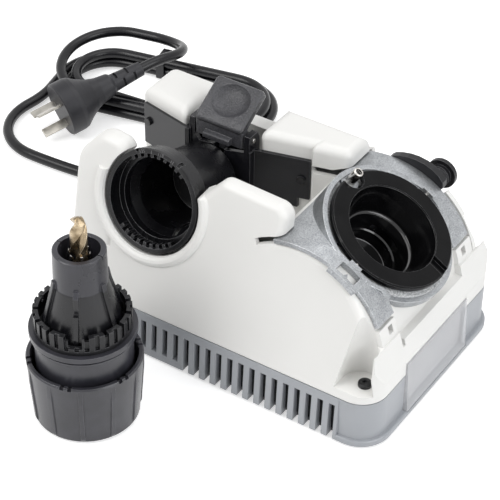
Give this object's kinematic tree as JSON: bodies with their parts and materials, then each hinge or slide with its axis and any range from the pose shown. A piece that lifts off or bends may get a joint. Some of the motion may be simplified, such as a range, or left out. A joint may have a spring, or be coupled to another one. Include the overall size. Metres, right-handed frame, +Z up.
{
  "type": "drill bit sharpener",
  "caption": "Bench drill bit sharpener: white housing on a grey base, alignment port with thumb lever, sharpening port on an angle arch, clear debris tray, corded, with a separate bit chuck.",
  "frame": {"origin": "on the floor, under the middle of the machine and its chuck, the mains lead left out", "axes": "+Z up from the floor, +Y from the front with its vents and alignment port to the rear, +X to the end with the sharpening port and tray"},
  "size_m": [0.3948, 0.3732, 0.14],
  "materials": {
    "housing_white": "satin moulded off-white",
    "base_grey": "satin moulded blue-grey",
    "black_plastic": "satin moulded black",
    "gloss_black": "smooth moulded black",
    "diecast": "mottled bare die-casting",
    "steel": "ground steel",
    "black_steel": "black oxide steel",
    "bronze": "bronze",
    "armature": "laminated iron and varnished wire",
    "grit": "diamond grit plating",
    "foam": "speckled open foam",
    "clear": "clear moulded",
    "rubber": "black flexible moulding",
    "nickel": "nickel plate",
    "tie": "flat tie",
    "cap": "moulded"
  },
  "bodies": {
    "housing": {"base_shell": "base_grey", "base_feet": "rubber", "top_housing": "housing_white", "housing_screws": "black_steel", "alignment_bracket": "black_plastic", "bracket_screws": "black_steel", "lever_pin": "steel", "motor_can": "steel", "motor_end_cap": "cap", "motor_bearings": "bronze", "motor_straps": "steel", "switch_body": "black_plastic", "strain_relief": "rubber", "cord_lead": "rubber", "cord_hank": "rubber", "cord_tail": "rubber", "cord_tie": "tie", "plug_body": "rubber", "plug_pins": "nickel"},
    "spindle": {"motor_shaft": "steel", "motor_armature": "armature", "diamond_wheel": "grit", "cooling_fan": "black_plastic"},
    "angle_arch": {"angle_plate": "diecast", "cam_pin": "steel", "tube_pivot_pins": "steel", "dust_seal": "foam", "lock_bracket": "black_plastic"},
    "lock_knob": {"lock_knob": "black_plastic"},
    "sharpening_tube": {"sharpening_tube": "gloss_black"},
    "alignment_tube": {"alignment_tube": "black_plastic"},
    "thumb_lever": {"thumb_lever": "black_plastic"},
    "pawl_left": {"pawl_left": "steel"},
    "pawl_right": {"pawl_right": "steel"},
    "debris_tray": {"debris_tray": "clear"},
    "switch_rocker": {"switch_rocker": "black_plastic"},
    "chuck": {"chuck_sleeve": "black_plastic", "chuck_collar": "black_plastic", "chuck_nose": "black_plastic"},
    "chuck_knob": {"chuck_knob": "black_plastic"},
    "drill_bit": {"drill_bit": "bronze"},
    "jaw_1": {"chuck_jaw_1": "steel"},
    "jaw_2": {"chuck_jaw_2": "steel"},
    "jaw_3": {"chuck_jaw_3": "steel"},
    "jaw_4": {"chuck_jaw_4": "steel"},
    "jaw_5": {"chuck_jaw_5": "steel"},
    "jaw_6": {"chuck_jaw_6": "steel"}
  },
  "joints": [
    {"name": "spindle_spin", "type": "hinge", "parent": "housing", "child": "spindle", "pos_m": [0.00104, 0.04346, 0.0347], "axis": [1, 0, 0], "continuous": true},
    {"name": "angle_swing", "type": "hinge", "parent": "housing", "child": "angle_arch", "pos_m": [0.04524, 0.04346, 0.0504], "axis": [0, -1, 0], "range_deg": [-1.5, 11]},
    {"name": "lock_turn", "type": "hinge", "parent": "angle_arch", "child": "lock_knob", "pos_m": [0.07196, 0.09727, 0.09961], "axis": [0, 1, 0], "range_deg": [-180, 180]},
    {"name": "tube_rock", "type": "hinge", "parent": "angle_arch", "child": "sharpening_tube", "pos_m": [0.07516, 0.04346, 0.1002], "axis": [0, 1, 0], "range_deg": [-2, 3], "stiffness_Nm_per_rad": 4},
    {"name": "align_turn", "type": "hinge", "parent": "housing", "child": "alignment_tube", "pos_m": [-0.05596, -0.0107, 0.0989], "axis": [0, -0.9563, 0.2924], "range_deg": [-20, 20]},
    {"name": "lever_press", "type": "hinge", "parent": "housing", "child": "thumb_lever", "pos_m": [-0.05071, 0.05797, 0.113], "axis": [-1, 0, 0], "range_deg": [0, 12], "stiffness_Nm_per_rad": 0.15, "springref_deg": -5.73},
    {"name": "pawl_left_slide", "type": "slide", "parent": "housing", "child": "pawl_left", "axis": [-1, 0, 0], "range_m": [0, 0.005]},
    {"name": "pawl_right_slide", "type": "slide", "parent": "housing", "child": "pawl_right", "axis": [1, 0, 0], "range_m": [0, 0.005]},
    {"name": "tray_pull", "type": "slide", "parent": "housing", "child": "debris_tray", "axis": [1, 0, 0], "range_m": [0, 0.05]},
    {"name": "switch_rock", "type": "hinge", "parent": "housing", "child": "switch_rocker", "pos_m": [-0.06096, 0.11696, 0.019], "axis": [0, 0, 1], "range_deg": [-10, 0]},
    {"name": "chuck_lift", "type": "slide", "parent": "housing", "child": "chuck", "axis": [0, 0, 1], "range_m": [0, 0.15]},
    {"name": "knob_turn", "type": "hinge", "parent": "chuck", "child": "chuck_knob", "pos_m": [-0.04796, -0.08894, 0], "axis": [0, 0, 1], "range_deg": [0, 300]},
    {"name": "bit_lift", "type": "slide", "parent": "chuck", "child": "drill_bit", "axis": [0, 0, 1], "range_m": [0, 0.1]},
    {"name": "jaw_1_slide", "type": "slide", "parent": "chuck", "child": "jaw_1", "axis": [0.9397, 0.342, 0], "range_m": [0, 0.0035]},
    {"name": "jaw_2_slide", "type": "slide", "parent": "chuck", "child": "jaw_2", "axis": [0.1736, 0.9848, 0], "range_m": [0, 0.0035]},
    {"name": "jaw_3_slide", "type": "slide", "parent": "chuck", "child": "jaw_3", "axis": [-0.766, 0.6428, 0], "range_m": [0, 0.0035]},
    {"name": "jaw_4_slide", "type": "slide", "parent": "chuck", "child": "jaw_4", "axis": [-0.9397, -0.342, 0], "range_m": [0, 0.0035]},
    {"name": "jaw_5_slide", "type": "slide", "parent": "chuck", "child": "jaw_5", "axis": [-0.1736, -0.9848, 0], "range_m": [0, 0.0035]},
    {"name": "jaw_6_slide", "type": "slide", "parent": "chuck", "child": "jaw_6", "axis": [0.766, -0.6428, 0], "range_m": [0, 0.0035]}
  ],
  "couplings": [
    {"joint": "jaw_1_slide", "follows": "knob_turn", "m_per_rad": 0.00066},
    {"joint": "jaw_2_slide", "follows": "knob_turn", "m_per_rad": 0.00066},
    {"joint": "jaw_3_slide", "follows": "knob_turn", "m_per_rad": 0.00066},
    {"joint": "jaw_4_slide", "follows": "knob_turn", "m_per_rad": 0.00066},
    {"joint": "jaw_5_slide", "follows": "knob_turn", "m_per_rad": 0.00066},
    {"joint": "jaw_6_slide", "follows": "knob_turn", "m_per_rad": 0.00066},
    {"joint": "pawl_left_slide", "follows": "lever_press", "m_per_rad": 0.0235},
    {"joint": "pawl_right_slide", "follows": "lever_press", "m_per_rad": 0.0235}
  ]
}
